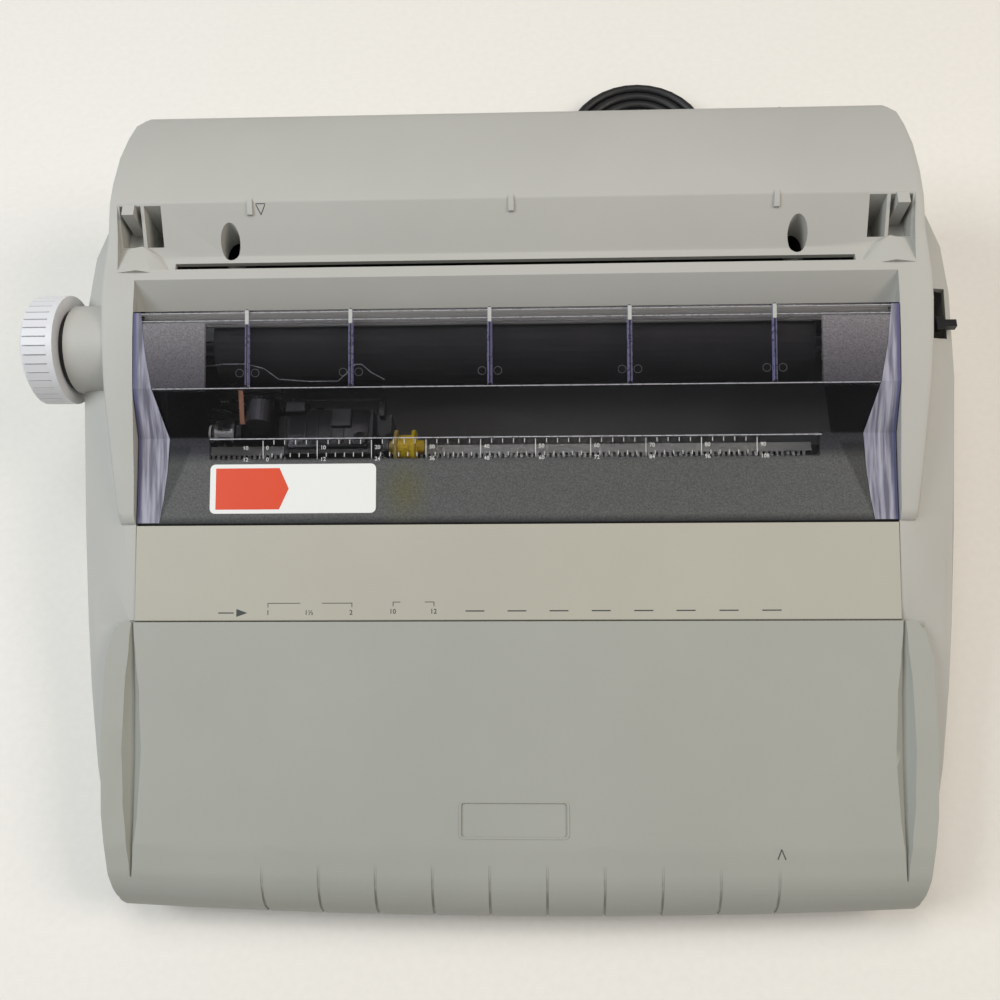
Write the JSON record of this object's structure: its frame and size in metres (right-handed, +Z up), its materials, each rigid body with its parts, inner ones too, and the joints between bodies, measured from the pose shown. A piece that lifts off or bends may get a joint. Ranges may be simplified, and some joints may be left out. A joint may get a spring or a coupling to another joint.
{
  "type": "electronic typewriter",
  "caption": "Portable electronic daisy-wheel typewriter with a smoked platen cover, a lift-off keyboard cover, a platen knob, a travelling print carriage and a coiled mains cord.",
  "frame": {"origin": "centre of the footprint of the machine without its cord, on the table", "axes": "+X to the right of a typist, +Y to the rear, +Z up"},
  "size_m": [0.4376, 0.4749, 0.1267],
  "materials": {
    "grey_plastic": "fine matte moulded texture, light warm grey",
    "panel_plastic": "fine matte moulded texture, slightly yellower grey",
    "cover_plastic": "fine matte moulded texture, slightly darker grey",
    "smoke_plastic": "smoked clear plastic with a frosted border",
    "foot_rubber": "matte black rubber",
    "frame_steel": "plated sheet steel",
    "bright_steel": "bright ground steel",
    "platen_rubber": "ground dark rubber",
    "knob_plastic": "satin grey plastic",
    "white_plastic": "natural white plastic",
    "black_plastic": "satin black plastic",
    "rack_plastic": "grey moulded plastic",
    "yellow_plastic": "translucent yellow plastic",
    "clear_plastic": "clear plastic film",
    "circuit_board": "green solder mask",
    "transformer_iron": "varnished iron core",
    "key_plastic": "light key plastic",
    "dark_key_plastic": "mid grey key plastic",
    "cord_vinyl": "black cord vinyl"
  },
  "bodies": {
    "chassis": {"base_pan": "grey_plastic", "main_cover": "grey_plastic", "control_panel": "panel_plastic", "foot_front_left": "foot_rubber", "foot_front_right": "foot_rubber", "foot_rear_left": "foot_rubber", "foot_rear_right": "foot_rubber", "left_side_frame": "frame_steel", "right_side_frame": "frame_steel", "line_feed_motor": "frame_steel", "paper_pan": "black_plastic", "guide_shaft": "bright_steel", "carriage_rack": "rack_plastic", "main_board": "circuit_board", "transformer": "transformer_iron", "keyboard_frame": "black_plastic", "keyboard_board": "circuit_board", "cord_strain_relief": "cord_vinyl", "cord_run": "cord_vinyl", "cord_coil": "cord_vinyl", "cord_tie": "white_plastic", "power_plug": "cord_vinyl"},
    "clear_cover": {"clear_cover": "smoke_plastic"},
    "keyboard_cover": {"keyboard_cover": "cover_plastic"},
    "platen": {"platen_roller": "platen_rubber", "platen_shaft": "bright_steel", "platen_knob": "knob_plastic", "knob_spacer": "black_plastic", "platen_gear": "white_plastic"},
    "line_feed_pinion": {"line_feed_pinion": "white_plastic"},
    "paper_release": {"paper_release_lever": "black_plastic"},
    "pressure_frame": {"pressure_frame": "frame_steel"},
    "feed_roller": {"feed_roller": "foot_rubber"},
    "carriage": {"carriage_frame": "black_plastic", "wheel_motor": "frame_steel", "print_hammer": "bright_steel", "ribbon_cassette": "black_plastic", "card_guide": "clear_plastic", "carriage_motor": "frame_steel"},
    "daisy_wheel": {"daisy_wheel": "black_plastic"},
    "drive_pinion": {"drive_pinion": "white_plastic"},
    "supply_spool": {"correction_supply_spool": "bright_steel"},
    "takeup_spool": {"correction_takeup_spool": "yellow_plastic"},
    "power_switch": {"power_switch": "black_plastic"},
    "number_row_keys": {"number_row_keys": "key_plastic"},
    "upper_row_keys": {"upper_row_keys": "key_plastic"},
    "home_row_keys": {"home_row_keys": "key_plastic"},
    "lower_row_keys": {"lower_row_keys": "key_plastic"},
    "space_bar": {"space_bar": "key_plastic"},
    "backspace_key": {"backspace_key": "dark_key_plastic"},
    "tab_key": {"tab_key": "dark_key_plastic"},
    "relocate_key": {"relocate_key": "dark_key_plastic"},
    "lock_key": {"lock_key": "dark_key_plastic"},
    "return_key": {"return_key": "dark_key_plastic"},
    "left_shift_key": {"left_shift_key": "dark_key_plastic"},
    "right_shift_key": {"right_shift_key": "dark_key_plastic"},
    "code_key": {"code_key": "dark_key_plastic"}
  },
  "joints": [
    {"name": "platen_turn", "type": "hinge", "parent": "chassis", "child": "platen", "pos_m": [0.01025, 0.066, 0.086], "axis": [1, 0, 0], "continuous": true},
    {"name": "line_feed_pinion_turn", "type": "hinge", "parent": "chassis", "child": "line_feed_pinion", "pos_m": [-0.15975, 0.08247, 0.06733], "axis": [1, 0, 0], "continuous": true},
    {"name": "paper_release", "type": "hinge", "parent": "chassis", "child": "paper_release", "pos_m": [0.20925, 0.09, 0.05], "axis": [-1, 0, 0], "range_deg": [0, 15]},
    {"name": "pressure_frame_rock", "type": "hinge", "parent": "chassis", "child": "pressure_frame", "pos_m": [0.01025, 0.09, 0.05], "axis": [-1, 0, 0], "range_deg": [-4.5, 0]},
    {"name": "feed_roller_turn", "type": "hinge", "parent": "pressure_frame", "child": "feed_roller", "pos_m": [0.01025, 0.066, 0.0609], "axis": [1, 0, 0], "continuous": true},
    {"name": "clear_cover_hinge", "type": "hinge", "parent": "chassis", "child": "clear_cover", "pos_m": [0.01025, 0.0695, 0.108], "axis": [-1, 0, 0], "range_deg": [0, 80]},
    {"name": "keyboard_cover_lift", "type": "slide", "parent": "chassis", "child": "keyboard_cover", "axis": [0, 0, 1], "range_m": [0, 0.12]},
    {"name": "carriage_travel", "type": "slide", "parent": "chassis", "child": "carriage", "axis": [1, 0, 0], "range_m": [0, 0.208]},
    {"name": "daisy_wheel_turn", "type": "hinge", "parent": "carriage", "child": "daisy_wheel", "pos_m": [-0.10975, 0.04, 0.053], "axis": [0, 1, 0], "continuous": true},
    {"name": "drive_pinion_turn", "type": "hinge", "parent": "carriage", "child": "drive_pinion", "pos_m": [-0.06975, 0.006, 0.061], "axis": [0, 0, 1], "continuous": true},
    {"name": "supply_spool_turn", "type": "hinge", "parent": "carriage", "child": "supply_spool", "pos_m": [-0.12475, 0.024, 0.0795], "axis": [1, 0, 0], "continuous": true},
    {"name": "takeup_spool_turn", "type": "hinge", "parent": "carriage", "child": "takeup_spool", "pos_m": [-0.03975, 0.0185, 0.074], "axis": [1, 0, 0], "continuous": true},
    {"name": "power_switch_press", "type": "slide", "parent": "chassis", "child": "power_switch", "axis": [1, 0, 0], "range_m": [0, 0.0025]},
    {"name": "number_row_keys_press", "type": "slide", "parent": "chassis", "child": "number_row_keys", "axis": [0, 0, 1], "range_m": [-0.003, 0], "stiffness_N_per_m": 400, "springref_m": 0.002},
    {"name": "upper_row_keys_press", "type": "slide", "parent": "chassis", "child": "upper_row_keys", "axis": [0, 0, 1], "range_m": [-0.003, 0], "stiffness_N_per_m": 400, "springref_m": 0.002},
    {"name": "home_row_keys_press", "type": "slide", "parent": "chassis", "child": "home_row_keys", "axis": [0, 0, 1], "range_m": [-0.003, 0], "stiffness_N_per_m": 400, "springref_m": 0.002},
    {"name": "lower_row_keys_press", "type": "slide", "parent": "chassis", "child": "lower_row_keys", "axis": [0, 0, 1], "range_m": [-0.003, 0], "stiffness_N_per_m": 400, "springref_m": 0.002},
    {"name": "space_bar_press", "type": "slide", "parent": "chassis", "child": "space_bar", "axis": [0, 0, 1], "range_m": [-0.003, 0], "stiffness_N_per_m": 400, "springref_m": 0.002},
    {"name": "backspace_key_press", "type": "slide", "parent": "chassis", "child": "backspace_key", "axis": [0, 0, 1], "range_m": [-0.003, 0], "stiffness_N_per_m": 400, "springref_m": 0.002},
    {"name": "tab_key_press", "type": "slide", "parent": "chassis", "child": "tab_key", "axis": [0, 0, 1], "range_m": [-0.003, 0], "stiffness_N_per_m": 400, "springref_m": 0.002},
    {"name": "relocate_key_press", "type": "slide", "parent": "chassis", "child": "relocate_key", "axis": [0, 0, 1], "range_m": [-0.003, 0], "stiffness_N_per_m": 400, "springref_m": 0.002},
    {"name": "lock_key_press", "type": "slide", "parent": "chassis", "child": "lock_key", "axis": [0, 0, 1], "range_m": [-0.003, 0], "stiffness_N_per_m": 400, "springref_m": 0.002},
    {"name": "return_key_press", "type": "slide", "parent": "chassis", "child": "return_key", "axis": [0, 0, 1], "range_m": [-0.003, 0], "stiffness_N_per_m": 400, "springref_m": 0.002},
    {"name": "left_shift_key_press", "type": "slide", "parent": "chassis", "child": "left_shift_key", "axis": [0, 0, 1], "range_m": [-0.003, 0], "stiffness_N_per_m": 400, "springref_m": 0.002},
    {"name": "right_shift_key_press", "type": "slide", "parent": "chassis", "child": "right_shift_key", "axis": [0, 0, 1], "range_m": [-0.003, 0], "stiffness_N_per_m": 400, "springref_m": 0.002},
    {"name": "code_key_press", "type": "slide", "parent": "chassis", "child": "code_key", "axis": [0, 0, 1], "range_m": [-0.003, 0], "stiffness_N_per_m": 400, "springref_m": 0.002}
  ],
  "couplings": [
    {"joint": "line_feed_pinion_turn", "follows": "platen_turn", "ratio": -2.6},
    {"joint": "feed_roller_turn", "follows": "platen_turn", "ratio": -2.5},
    {"joint": "pressure_frame_rock", "follows": "paper_release", "ratio": -0.3},
    {"joint": "drive_pinion_turn", "follows": "carriage_travel", "rad_per_m": 116.36},
    {"joint": "takeup_spool_turn", "follows": "supply_spool_turn", "ratio": 0.4}
  ]
}
